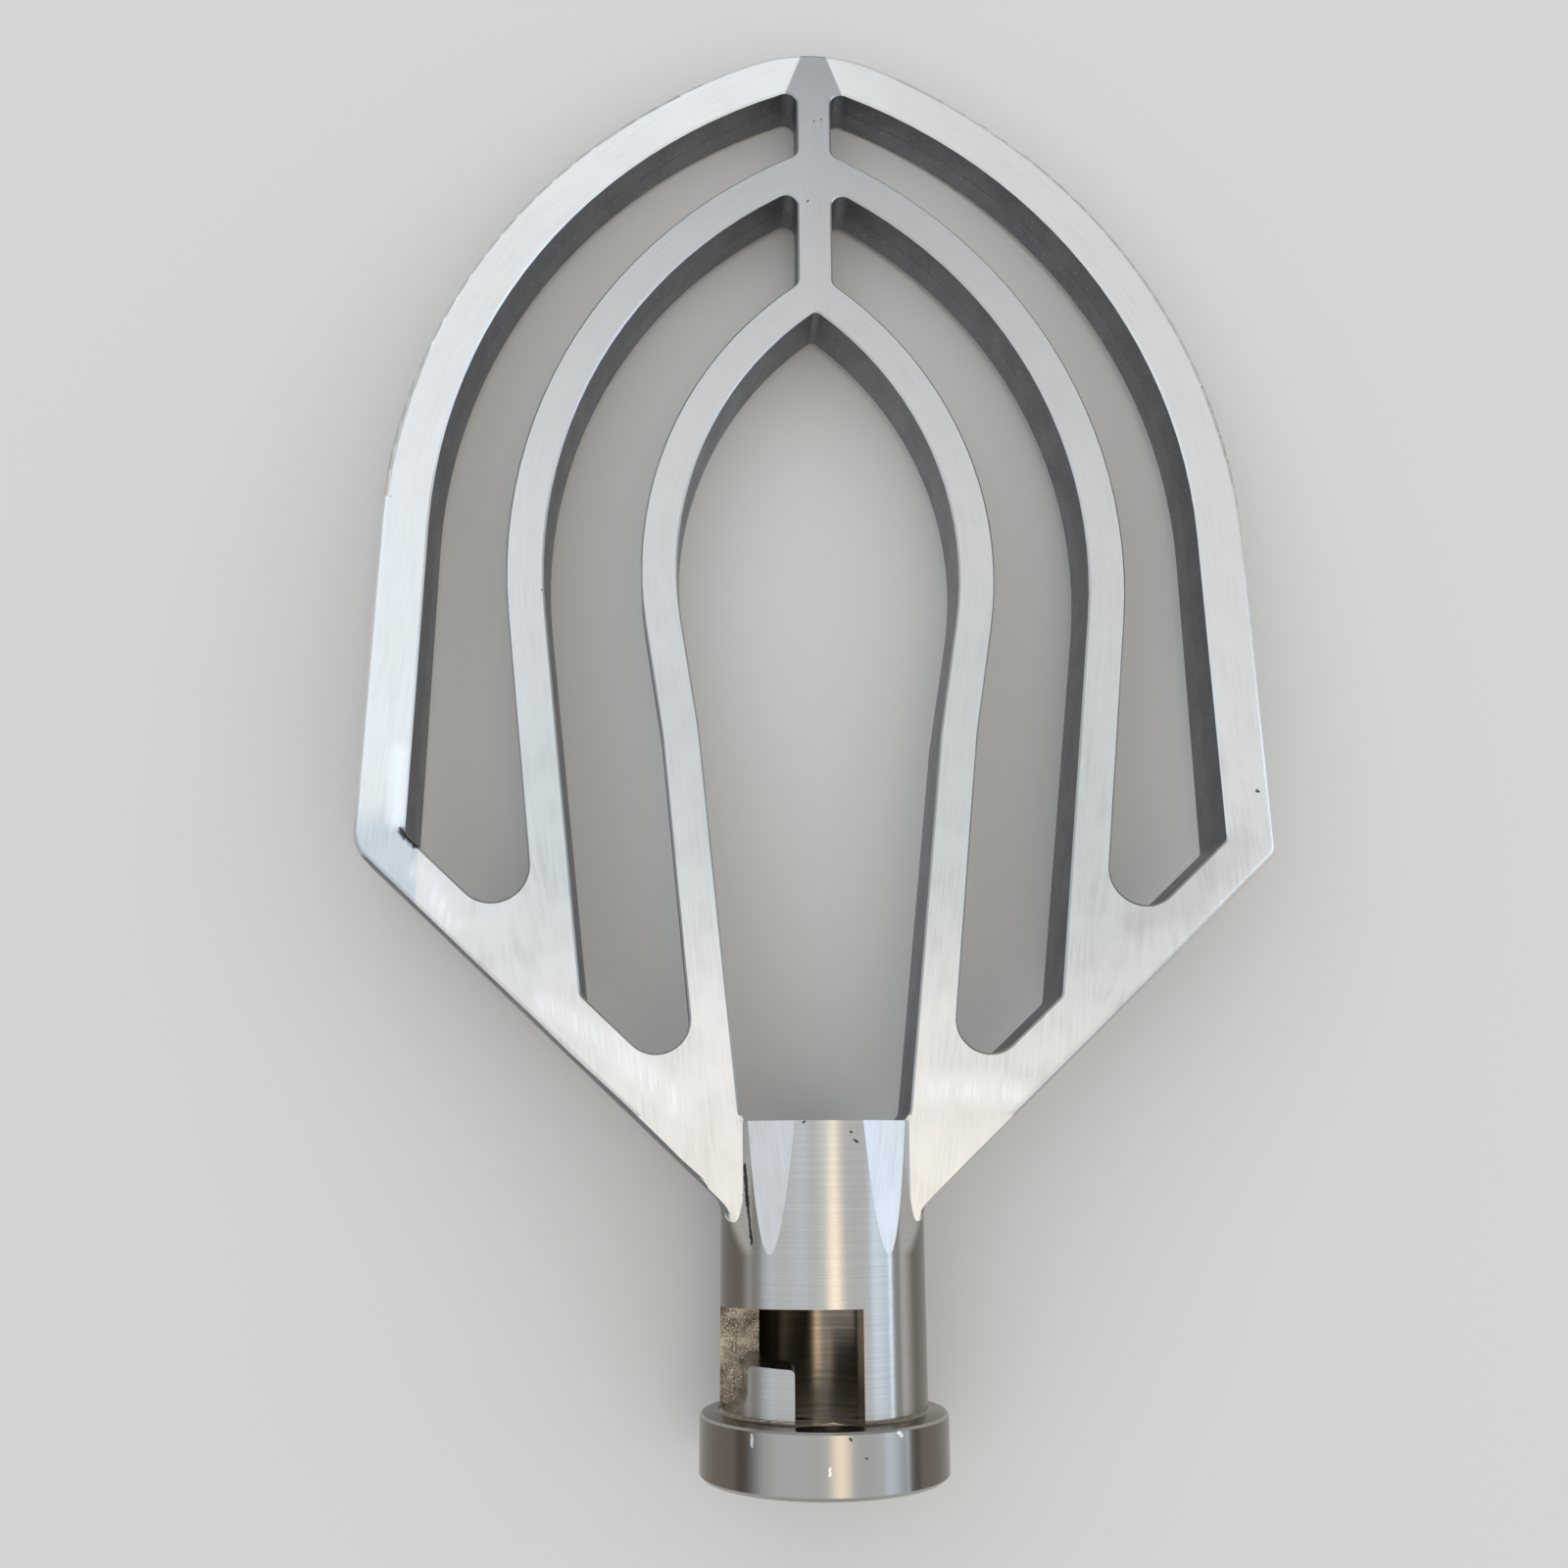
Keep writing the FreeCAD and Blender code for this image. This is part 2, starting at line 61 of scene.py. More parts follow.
def ownPlace(tree):
    # the beater's own coordinates in millimetres
    place = addNode(tree, "TexCoord")
    moved = addNode(tree, "Mapping", {
        "vector_type": "TEXTURE", "Location": lie["mouth"], "Rotation": (lieAngle, 0, 0),
    }, {"Vector": place.outputs["Object"]})
    scaled = addNode(tree, "VectorMath", {"operation": "SCALE", "Scale": mmPerMetre},
                     {0: moved.outputs["Vector"]})
    return scaled.outputs["Vector"]


def sparsePits(tree, place, spacing, radius, share, core=0.4):
    # a few round pores a good way apart, 1 inside a pore and 0 elsewhere
    cells = addNode(tree, "TexVoronoi", {"Scale": 1 / spacing}, {"Vector": place})
    near = addNode(tree, "MapRange", {
        "From Min": core * radius / spacing, "From Max": radius / spacing, "To Min": 1.0, "To Max": 0.0,
    }, {"Value": cells.outputs["Distance"]})
    chosen = addNode(tree, "Math", {"operation": "LESS_THAN", 1: share}, {0: cells.outputs["Color"]})
    return addNode(tree, "Math", {"operation": "MULTIPLY"},
                   {0: near.outputs["Result"], 1: chosen.outputs[0]}).outputs[0]


def scars(tree, place, marks, core=0.5):
    # lines and dots at known places, 1 on a mark and 0 elsewhere; each is (start, end, half width) in mm
    total = None
    for start, end, halfWidth in marks:
        run = Vector(end) - Vector(start)
        fromStart = addNode(tree, "VectorMath", {"operation": "SUBTRACT", 1: start}, {0: place})
        along = addNode(tree, "VectorMath", {"operation": "DOT_PRODUCT", 1: run / run.length_squared},
                        {0: fromStart.outputs[0]})
        held = addNode(tree, "Clamp", {}, {0: along.outputs["Value"]})
        foot = addNode(tree, "VectorMath", {"operation": "SCALE", 0: run}, {"Scale": held.outputs[0]})
        away = addNode(tree, "VectorMath", {"operation": "DISTANCE"},
                       {0: fromStart.outputs[0], 1: foot.outputs[0]})
        mark = addNode(tree, "MapRange", {
            "From Min": core * halfWidth, "From Max": halfWidth, "To Min": 1.0, "To Max": 0.0,
        }, {"Value": away.outputs["Value"]}).outputs["Result"]
        if total:
            mark = addNode(tree, "Math", {"operation": "MAXIMUM"}, {0: total, 1: mark}).outputs[0]
        total = mark
    return total


def ragged(tree, place, size, reach):
    # the same place shaken a little, so that what is drawn by it has uneven edges
    shake = addNode(tree, "TexNoise", {"Scale": 1 / size, "Detail": 2.0}, {"Vector": place})
    centred = addNode(tree, "VectorMath", {
        "operation": "MULTIPLY_ADD", 1: (2 * reach,) * 3, 2: (-reach,) * 3,
    }, {0: shake.outputs["Color"]})
    return addNode(tree, "VectorMath", {"operation": "ADD"}, {0: place, 1: centred.outputs[0]}).outputs[0]


def roundNormal(tree, place, leastShare=0.95):
    # the true normal of the hub's and the bore's round walls, whose facets would break the long reflections
    part = addNode(tree, "SeparateXYZ", {}, {0: place})
    spoke = addNode(tree, "CombineXYZ", {}, {"X": part.outputs["X"], "Z": part.outputs["Z"]})
    radial = addNode(tree, "VectorRotate", {"rotation_type": "X_AXIS", "Angle": lieAngle},
                     {"Vector": spoke.outputs[0]})
    unit = addNode(tree, "VectorMath", {"operation": "NORMALIZE"}, {0: radial.outputs[0]})
    flat = addNode(tree, "NewGeometry")
    along = addNode(tree, "VectorMath", {"operation": "DOT_PRODUCT"},
                    {0: unit.outputs[0], 1: flat.outputs["True Normal"]})
    way = addNode(tree, "Math", {"operation": "SIGN"}, {0: along.outputs["Value"]})
    turned = addNode(tree, "VectorMath", {"operation": "SCALE"},
                     {0: unit.outputs[0], "Scale": way.outputs[0]})
    share = addNode(tree, "Math", {"operation": "ABSOLUTE"}, {0: along.outputs["Value"]})
    isRound = addNode(tree, "Math", {"operation": "GREATER_THAN", 1: leastShare}, {0: share.outputs[0]})
    return addNode(tree, "Mix", {"data_type": "VECTOR"},
                   {0: isRound.outputs[0], 4: flat.outputs["Normal"], 5: turned.outputs[0]}).outputs[1]


# Cast aluminium, belt ground by hand: a bright satin face with fine scratches that follow the bars.
# The belt met the outer loop at a slightly other angle, so it leans outward a little and ends in a crease;
# the rib's greyer tone is painted shade.
groundLook = {                                              # lengths in mm
    # the rib, leg and corner tones are painted shade, and gleam is a painted highlight
    "arm": "#eceae6", "web": "#e5e3e0", "rib": "#adadae", "leg": "#d3d6d5", "corner": "#cfd3d5",
    "streak": "#cfcdca", "gleam": "#f4f5f5", "pore": "#4b4947",
    "paintedShade": "#f0f0ef",                                     # painted shade, soft dark strips by the right corner
    "roughness": 0.33, "sheenSpread": 0.06, "anisotropy": 0.45,
    "scratchWidth": 0.5, "scratchLength": 14.0,             # drawn coarser than the grit so that it shows
    "scratchStrength": 0.12, "scratchDepth": 0.05,
    "waveSize": 22.0, "waveStrength": 0.6, "waveDepth": 0.4,
    "legSlope": 0.12, "armSlope": -0.07, "legReach": 60.0, "armReach": 85.0,   # strokes along legs and arms
    "ribFull": 5.5, "ribEnd": 9.0,                          # strokes along the rib
    "strokeSize": 9.0, "strokeFrom": 0.35, "strokeTo": 0.65, "dullFrom": 0.35, "dullTo": 0.75,
    "webTop": 110.0, "loopStart": 190.0, "webStreak": 0.6, "loopStreak": 0.28, "leastStreak": 0.1,
    "legFrom": 80.0, "legFull": 125.0, "legEnd": 230.0,
    "cornerFrom": 142.0, "cornerTo": 129.0,
    "greyFrom": 160.0, "greyTo": 330.0,
    "filletFrom": 17.0, "filletTo": 17.5, "filletTop": 72.0, "filletLow": 9.0,
    "faceNormal": (0.0, 0.0771, 0.997),
    "faceTop": 11.984, "faceFall": 0.016814,                # the ground face's height, and how it falls
    "edgeRound": 1.5, "edgeStart": 141.0, "edgeLow": 140.0, "edgeFrom": 0.02, "edgeFull": 0.1,
    "archLine": 199.5, "archBack": 45.0,                    # about where all the arches have their centres
    "loopEdge": 132.6,                                      # from there to between the outer and middle loops
    "creaseTop": 333.0, "creaseHalf": 3.5, "creaseSlope": 0.36, "creaseRamp": 0.25,
    "facetLean": 0.05,
    "poreSpacing": 17.0, "poreRadius": 0.3, "poreShare": 0.45,
    "raggedSize": 1.2, "raggedReach": 0.8,
    "pits": [
        ((98.3, 143.0, 10), (98.5, 143.1, 9), 0.5),
        ((0.1, 315.1, 7), (0.2, 315.2, 6), 0.35),
        ((1.6, 315.5, 7), (1.7, 315.5, 6), 0.35),
        ((-1.8, 292.0, 7.5), (-1.7, 292.0, 6.5), 0.35),
        ((-18.7, 55.2, 11), (-18.6, 55.4, 10.5), 0.35),
        ((-91.9, 132.9, 10), (-90.6, 131.8, 9.6), 0.7),     # where the belt did not reach into the corner
        ((-91.2, 132.3, 10), (-88.2, 129.4, 9.6), 1.2),
    ],
    "gleams": [((-92.6, 135.0, 9.9), (-92.9, 150.0, 9.6), 3.0)],
    "gleamCore": 0.0,
    "paintedGleamBands": [                                            # bands of painted highlight on the webs, broken up by the scratches
        ((-87.0, 123.4, 9.9), (-79.7, 112.4, 10.1), 3.5),
        ((-59.5, 94.8, 10.4), (-45.9, 87.5, 10.5), 4.0),
        ((-45.9, 87.5, 10.5), (-31.0, 74.3, 10.7), 4.5),
        ((22.6, 77.2, 10.7), (41.0, 76.5, 10.7), 4.5),
    ],
    "paintedGleamBandCore": 0.2, "bristleFrom": 0.4, "bristleTo": 0.62, "bristleMost": 0.8,
    "paintedShadeStrips": [
        ((92.5, 130.0, 9.8), (79.0, 116.5, 10.0), 6.0),
        ((79.0, 116.5, 10.0), (68.0, 113.5, 10.1), 4.5),
    ],
    "paintedShadeCore": 0.3,
}
groundFace, tree = newMaterial("beltGroundAluminium")
place = ownPlace(tree)
part = addNode(tree, "SeparateXYZ", {}, {0: place})
side = addNode(tree, "Math", {"operation": "SIGN"}, {0: part.outputs["X"]})
half = addNode(tree, "Math", {"operation": "ABSOLUTE"}, {0: part.outputs["X"]})
out = addNode(tree, "Math", {"operation": "ADD", 1: groundLook["archBack"]}, {0: half.outputs[0]})
above = addNode(tree, "Math", {"operation": "SUBTRACT", 1: groundLook["archLine"]}, {0: part.outputs["Y"]})
beyond = addNode(tree, "Math", {"operation": "MAXIMUM", 1: 0.0}, {0: above.outputs[0]})
reach = addNode(tree, "CombineXYZ", {}, {"X": out.outputs[0], "Y": beyond.outputs[0]})
across = addNode(tree, "VectorMath", {"operation": "LENGTH"}, {0: reach.outputs[0]})
outX = addNode(tree, "Math", {"operation": "MULTIPLY"}, {0: out.outputs[0], 1: side.outputs[0]})
outVector = addNode(tree, "CombineXYZ", {}, {"X": outX.outputs[0], "Y": beyond.outputs[0]})
outward = addNode(tree, "VectorMath", {"operation": "NORMALIZE"}, {0: outVector.outputs[0]})

# 1 on the outer loop, 0 on the rib, the inner loops and the webs, with a short ramp at the crease
creaseFoot = -groundLook["creaseHalf"] - groundLook["creaseSlope"] * groundLook["creaseTop"]
creaseFall = addNode(tree, "Math", {"operation": "MULTIPLY_ADD", 1: groundLook["creaseSlope"], 2: creaseFoot},
                     {0: part.outputs["Y"]})
creaseGap = addNode(tree, "Math", {"operation": "ADD"}, {0: creaseFall.outputs[0], 1: half.outputs[0]})
loopGap = addNode(tree, "Math", {"operation": "SUBTRACT", 1: groundLook["loopEdge"]},
                  {0: across.outputs["Value"]})
nearer = addNode(tree, "Math", {"operation": "MINIMUM"}, {0: creaseGap.outputs[0], 1: loopGap.outputs[0]})
onLoop = addNode(tree, "MapRange", {
    "From Min": -groundLook["creaseRamp"], "From Max": groundLook["creaseRamp"],
}, {"Value": nearer.outputs[0]})

# scratches along the bars, the legs and the arms, and along the rib between the loops
slope = addNode(tree, "MapRange", {
    "From Min": groundLook["legReach"], "From Max": groundLook["armReach"],
    "To Min": groundLook["legSlope"], "To Max": groundLook["armSlope"],
}, {"Value": half.outputs[0]})
below = addNode(tree, "Math", {"operation": "MINIMUM", 1: 0.0}, {0: above.outputs[0]})
slide = addNode(tree, "Math", {"operation": "MULTIPLY"}, {0: below.outputs[0], 1: slope.outputs["Result"]})
alongBar = addNode(tree, "Math", {"operation": "SUBTRACT"},
                   {0: across.outputs["Value"], 1: slide.outputs[0]})
alongRib = addNode(tree, "MapRange", {
    "From Min": groundLook["ribFull"], "From Max": groundLook["ribEnd"], "To Min": 1.0, "To Max": 0.0,
}, {"Value": half.outputs[0]})
acrossBar = addNode(tree, "Mix", {"data_type": "FLOAT"},
                    {0: alongRib.outputs["Result"], 2: alongBar.outputs[0], 3: part.outputs["X"]})
scratchX = addNode(tree, "Math", {"operation": "DIVIDE", 1: groundLook["scratchWidth"]},
                   {0: acrossBar.outputs[0]})
stretched = addNode(tree, "VectorMath", {"operation": "SCALE", "Scale": 1 / groundLook["scratchLength"]},
                    {0: place})
stretchedParts = addNode(tree, "SeparateXYZ", {}, {0: stretched.outputs[0]})
scratchPlace = addNode(tree, "CombineXYZ", {}, {
    "X": scratchX.outputs[0], "Y": stretchedParts.outputs["Y"], "Z": stretchedParts.outputs["X"],
})
scratches = addNode(tree, "TexNoise", {"Scale": 1.0, "Detail": 4.0, "Roughness": 0.65},
                    {"Vector": scratchPlace.outputs[0]})

# the tone of the loops, with painted shade greying the rib upward and darkening the legs, and painted shade
# on the left corner's facet
cloudy = addNode(tree, "TexNoise", {"Scale": 1 / groundLook["waveSize"], "Detail": 3.0}, {"Vector": place})
upwards = addNode(tree, "MapRange", {"From Min": groundLook["greyFrom"], "From Max": groundLook["greyTo"]},
                  {"Value": part.outputs["Y"]})
greying = addNode(tree, "Math", {"operation": "POWER", 1: 2.0}, {0: upwards.outputs["Result"]})
legStart = addNode(tree, "MapRange", {
    "interpolation_type": "SMOOTHSTEP", "From Min": groundLook["legFrom"], "From Max": groundLook["legFull"],
}, {"Value": part.outputs["Y"]})
legStop = addNode(tree, "MapRange", {
    "interpolation_type": "SMOOTHSTEP", "From Min": groundLook["legEnd"], "From Max": groundLook["legFull"],
}, {"Value": part.outputs["Y"]})
onLegs = addNode(tree, "Math", {"operation": "MINIMUM"},
                 {0: legStart.outputs["Result"], 1: legStop.outputs["Result"]})
inboard = addNode(tree, "MapRange", {"From Min": groundLook["armReach"], "From Max": groundLook["legReach"]},
                  {"Value": half.outputs[0]})
legShare = addNode(tree, "Math", {"operation": "MULTIPLY"},
                   {0: onLegs.outputs[0], 1: inboard.outputs["Result"]})
lower = addNode(tree, "Mix", {
    "data_type": "RGBA", 6: linearColour(groundLook["web"]), 7: linearColour(groundLook["leg"]),
}, {0: legShare.outputs[0]})
inner = addNode(tree, "Mix", {"data_type": "RGBA", 7: linearColour(groundLook["rib"])},
                {0: greying.outputs[0], 6: lower.outputs[2]})
inCorner = addNode(tree, "MapRange", {
    "interpolation_type": "SMOOTHSTEP",
    "From Min": groundLook["cornerFrom"], "From Max": groundLook["cornerTo"],
}, {"Value": part.outputs["Y"]})
onLeft = addNode(tree, "Math", {"operation": "LESS_THAN", 1: 0.0}, {0: part.outputs["X"]})
leftCorner = addNode(tree, "Math", {"operation": "MULTIPLY"},
                     {0: inCorner.outputs["Result"], 1: onLeft.outputs[0]})
outer = addNode(tree, "Mix", {
    "data_type": "RGBA", 6: linearColour(groundLook["arm"]), 7: linearColour(groundLook["corner"]),
}, {0: leftCorner.outputs[0]})
tone = addNode(tree, "Mix", {"data_type": "RGBA"},
               {0: onLoop.outputs["Result"], 6: inner.outputs[2], 7: outer.outputs[2]})

# streaks in patches, stronger on the webs, then strips of painted shade, bands of painted highlight and the
# pores
strokes = addNode(tree, "TexNoise", {"Scale": 1 / groundLook["strokeSize"], "Detail": 2.0},
                  {"Vector": place})
onWebs = addNode(tree, "MapRange", {
    "From Min": groundLook["webTop"], "From Max": groundLook["loopStart"],
    "To Min": groundLook["webStreak"], "To Max": groundLook["loopStreak"],
}, {"Value": part.outputs["Y"]})
patchy = addNode(tree, "MapRange", {
    "From Min": groundLook["strokeFrom"], "From Max": groundLook["strokeTo"],
    "To Min": groundLook["leastStreak"],
}, {"Value": strokes.outputs["Fac"], "To Max": onWebs.outputs["Result"]})
dull = addNode(tree, "MapRange", {
    "From Min": groundLook["dullFrom"], "From Max": groundLook["dullTo"], "To Min": 0.0,
}, {"Value": scratches.outputs["Fac"], "To Max": patchy.outputs["Result"]})
streaked = addNode(tree, "Mix", {
    "data_type": "RGBA", "blend_type": "MULTIPLY", 7: linearColour(groundLook["streak"]),
}, {0: dull.outputs["Result"], 6: tone.outputs[2]})
pores = sparsePits(tree, place, groundLook["poreSpacing"], groundLook["poreRadius"], groundLook["poreShare"])
uneven = ragged(tree, place, groundLook["raggedSize"], groundLook["raggedReach"])
gleams = scars(tree, uneven, groundLook["gleams"], groundLook["gleamCore"])
# strips of painted shade by the right corner
paintedShadeStrips = scars(tree, uneven, groundLook["paintedShadeStrips"], groundLook["paintedShadeCore"])
withPaintedShade = addNode(tree, "Mix", {
    "data_type": "RGBA", "blend_type": "MULTIPLY", 7: linearColour(groundLook["paintedShade"]),
}, {0: paintedShadeStrips, 6: streaked.outputs[2]})
# bands of painted highlight on the webs, broken up by the scratches
paintedGleamBands = scars(tree, uneven, groundLook["paintedGleamBands"], groundLook["paintedGleamBandCore"])
bristles = addNode(tree, "MapRange", {
    "From Min": groundLook["bristleFrom"], "From Max": groundLook["bristleTo"],
    "To Max": groundLook["bristleMost"],
}, {"Value": scratches.outputs["Fac"]})
gleamBandShare = addNode(tree, "Math", {"operation": "MULTIPLY"}, {0: paintedGleamBands, 1: bristles.outputs["Result"]})
bright = addNode(tree, "Math", {"operation": "MAXIMUM"}, {0: gleams, 1: gleamBandShare.outputs[0]})
lit = addNode(tree, "Mix", {"data_type": "RGBA", 7: linearColour(groundLook["gleam"])},
              {0: bright.outputs[0], 6: withPaintedShade.outputs[2]})
pits = scars(tree, uneven, groundLook["pits"])
holes = addNode(tree, "Math", {"operation": "MAXIMUM"}, {0: pores, 1: pits})
colour = addNode(tree, "Mix", {"data_type": "RGBA", 7: linearColour(groundLook["pore"])},
                 {0: holes.outputs[0], 6: lit.outputs[2]})
sheen = addNode(tree, "MapRange", {
    "To Min": groundLook["roughness"] - groundLook["sheenSpread"],
    "To Max": groundLook["roughness"] + groundLook["sheenSpread"],
}, {"Value": cloudy.outputs["Fac"]})
lean = addNode(tree, "VectorMath", {"operation": "SCALE", "Scale": groundLook["facetLean"]},
               {0: outward.outputs[0]})
leanHere = addNode(tree, "VectorMath", {"operation": "SCALE"},
                   {0: lean.outputs[0], "Scale": onLoop.outputs["Result"]})

# beside the hub the belt ran on over the fillet, so it shines as the web does up to the crease
flat = addNode(tree, "NewGeometry")
overFillet = addNode(tree, "MapRange", {
    "From Min": groundLook["filletFrom"], "From Max": groundLook["filletTo"],
}, {"Value": half.outputs[0]})
besideHub = addNode(tree, "Math", {"operation": "LESS_THAN", 1: groundLook["filletTop"]},
                    {0: part.outputs["Y"]})
onTop = addNode(tree, "Math", {"operation": "GREATER_THAN", 1: groundLook["filletLow"]},
                {0: part.outputs["Z"]})
topFillet = addNode(tree, "Math", {"operation": "MULTIPLY"}, {0: besideHub.outputs[0], 1: onTop.outputs[0]})
blended = addNode(tree, "Math", {"operation": "MULTIPLY"},
                  {0: topFillet.outputs[0], 1: overFillet.outputs["Result"]})
faced = addNode(tree, "Mix", {"data_type": "VECTOR", 5: groundLook["faceNormal"]},
                {0: blended.outputs[0], 4: flat.outputs["Normal"]})

# round the outer edge by its depth under the ground face, because its facets would break the long gleams
faceHeight = addNode(tree, "Math", {
    "operation": "MULTIPLY_ADD", 1: -groundLook["faceFall"], 2: groundLook["faceTop"],
}, {0: part.outputs["Y"]})
height = addNode(tree, "Math", {"operation": "ABSOLUTE"}, {0: part.outputs["Z"]})
depth = addNode(tree, "Math", {"operation": "SUBTRACT"}, {0: faceHeight.outputs[0], 1: height.outputs[0]})
upright = addNode(tree, "MapRange", {"From Max": groundLook["edgeRound"], "To Min": 1.0, "To Max": 0.0},
                  {"Value": depth.outputs[0]})
squared = addNode(tree, "Math", {"operation": "POWER", 1: 2.0}, {0: upright.outputs["Result"]})
others = addNode(tree, "Math", {"operation": "SUBTRACT", 0: 1.0}, {1: squared.outputs[0]})
sideways = addNode(tree, "Math", {"operation": "SQRT"}, {0: others.outputs[0]})
edgeSide = addNode(tree, "VectorMath", {"operation": "SCALE"},
                   {0: outward.outputs[0], "Scale": sideways.outputs[0]})
upOrDown = addNode(tree, "Math", {"operation": "SIGN"}, {0: part.outputs["Z"]})
rise = addNode(tree, "Math", {"operation": "MULTIPLY"},
               {0: upright.outputs["Result"], 1: upOrDown.outputs[0]})
edgeRise = addNode(tree, "CombineXYZ", {}, {"Z": rise.outputs[0]})
edgeOwn = addNode(tree, "VectorMath", {"operation": "ADD"},
                  {0: edgeSide.outputs[0], 1: edgeRise.outputs[0]})
edgeNormal = addNode(tree, "VectorRotate", {"rotation_type": "X_AXIS", "Angle": lieAngle},
                     {"Vector": edgeOwn.outputs[0]})
rounded = addNode(tree, "MapRange", {"From Min": groundLook["edgeFrom"], "From Max": groundLook["edgeFull"]},
                  {"Value": depth.outputs[0]})
atEdge = addNode(tree, "Math", {"operation": "GREATER_THAN", 1: groundLook["edgeStart"]},
                 {0: across.outputs["Value"]})
aboveCorner = addNode(tree, "Math", {"operation": "GREATER_THAN", 1: groundLook["edgeLow"]},
                      {0: part.outputs["Y"]})
alongEdge = addNode(tree, "Math", {"operation": "MULTIPLY"},
                    {0: atEdge.outputs[0], 1: aboveCorner.outputs[0]})
edgeShare = addNode(tree, "Math", {"operation": "MULTIPLY"},
                    {0: alongEdge.outputs[0], 1: rounded.outputs["Result"]})
edged = addNode(tree, "Mix", {"data_type": "VECTOR"},
                {0: edgeShare.outputs[0], 4: faced.outputs[1], 5: edgeNormal.outputs[0]})
leaning = addNode(tree, "VectorMath", {"operation": "ADD"}, {0: edged.outputs[1], 1: leanHere.outputs[0]})
leaningUnit = addNode(tree, "VectorMath", {"operation": "NORMALIZE"}, {0: leaning.outputs[0]})
wavy = addNode(tree, "Bump", {
    "Strength": groundLook["waveStrength"], "Distance": groundLook["waveDepth"] / mmPerMetre,
}, {"Height": cloudy.outputs["Fac"], "Normal": leaningUnit.outputs[0]})
relief = addNode(tree, "Bump", {
    "Strength": groundLook["scratchStrength"], "Distance": groundLook["scratchDepth"] / mmPerMetre,
}, {"Height": scratches.outputs["Fac"], "Normal": wavy.outputs["Normal"]})
surface = addNode(tree, "BsdfPrincipled", {"Metallic": 1.0, "Anisotropic": groundLook["anisotropy"]}, {
    "Base Color": colour.outputs[2], "Roughness": sheen.outputs["Result"],
    "Normal": relief.outputs["Normal"], "Tangent": outward.outputs[0],
})
addNode(tree, "OutputMaterial", {}, {"Surface": surface.outputs[0]})

# The same aluminium as it left the sand: dull slate grey, finely grained, with the mould's joint line.
castLook = {                                                # lengths in mm
    "pale": "#909195", "dark": "#828387", "glint": "#b8b8b8", "roughness": 0.5,
    "grain": 0.7, "grainStrength": 0.55, "grainDepth": 0.18, "glintFrom": 0.6, "glintTo": 0.72,
    "patch": 9.0, "patchFrom": 0.35, "patchTo": 0.65,
    "joint": 0.35,
    "slotPale": "#c2b5a2", "slotDark": "#655b4e", "slotGlint": "#f1e9dc",   # the slot's floor sparkles
    "slotTop": 36.0, "slotGrain": 0.42, "slotPatch": 4.0,
    "sandFrom": 0.17, "sandTo": 0.36, "sparkleFrom": 0.6, "sparkleTo": 0.66,
}
castWall, tree = newMaterial("sandCastAluminium")
place = ownPlace(tree)
part = addNode(tree, "SeparateXYZ", {}, {0: place})
grain = addNode(tree, "TexNoise", {"Scale": 1 / castLook["grain"], "Detail": 3.0, "Roughness": 0.6},
                {"Vector": place})
patches = addNode(tree, "TexNoise", {"Scale": 1 / castLook["patch"], "Detail": 4.0}, {"Vector": place})
spread = addNode(tree, "MapRange", {"From Min": castLook["patchFrom"], "From Max": castLook["patchTo"]},
                 {"Value": patches.outputs["Fac"]})
tone = addNode(tree, "Mix", {
    "data_type": "RGBA", 6: linearColour(castLook["dark"]), 7: linearColour(castLook["pale"]),
}, {0: spread.outputs["Result"]})
bright = addNode(tree, "MapRange", {"From Min": castLook["glintFrom"], "From Max": castLook["glintTo"]},
                 {"Value": grain.outputs["Fac"]})
outside = addNode(tree, "Mix", {"data_type": "RGBA", 7: linearColour(castLook["glint"])},
                  {0: bright.outputs["Result"], 6: tone.outputs[2]})
fine = addNode(tree, "TexNoise", {"Scale": 1 / castLook["slotGrain"], "Detail": 3.0, "Roughness": 0.7},
               {"Vector": place})
broad = addNode(tree, "TexNoise", {"Scale": 1 / castLook["slotPatch"], "Detail": 3.0}, {"Vector": place})
both = addNode(tree, "Math", {"operation": "MULTIPLY"}, {0: fine.outputs["Fac"], 1: broad.outputs["Fac"]})
sandy = addNode(tree, "MapRange", {"From Min": castLook["sandFrom"], "From Max": castLook["sandTo"]},
                {"Value": both.outputs[0]})
sparkle = addNode(tree, "MapRange", {"From Min": castLook["sparkleFrom"], "From Max": castLook["sparkleTo"]},
                  {"Value": fine.outputs["Fac"]})
slotBase = addNode(tree, "Mix", {
    "data_type": "RGBA", 6: linearColour(castLook["slotDark"]), 7: linearColour(castLook["slotPale"]),
}, {0: sandy.outputs["Result"]})
slotTone = addNode(tree, "Mix", {"data_type": "RGBA", 7: linearColour(castLook["slotGlint"])},
                   {0: sparkle.outputs["Result"], 6: slotBase.outputs[2]})
inSlot = addNode(tree, "Math", {"operation": "LESS_THAN", 1: castLook["slotTop"]}, {0: part.outputs["Y"]})
colour = addNode(tree, "Mix", {"data_type": "RGBA"},
                 {0: inSlot.outputs[0], 6: outside.outputs[2], 7: slotTone.outputs[2]})
offJoint = addNode(tree, "Math", {"operation": "ABSOLUTE"}, {0: part.outputs["Z"]})
joint = addNode(tree, "MapRange", {"From Max": castLook["joint"], "To Min": 1.0, "To Max": 0.0},
                {"Value": offJoint.outputs[0]})
height = addNode(tree, "Math", {"operation": "ADD"}, {0: grain.outputs["Fac"], 1: joint.outputs["Result"]})
relief = addNode(tree, "Bump", {
    "Strength": castLook["grainStrength"], "Distance": castLook["grainDepth"] / mmPerMetre,
}, {"Height": height.outputs[0]})
surface = addNode(tree, "BsdfPrincipled", {"Metallic": 1.0, "Roughness": castLook["roughness"]},
                  {"Base Color": colour.outputs[2], "Normal": relief.outputs["Normal"]})
addNode(tree, "OutputMaterial", {}, {"Surface": surface.outputs[0]})

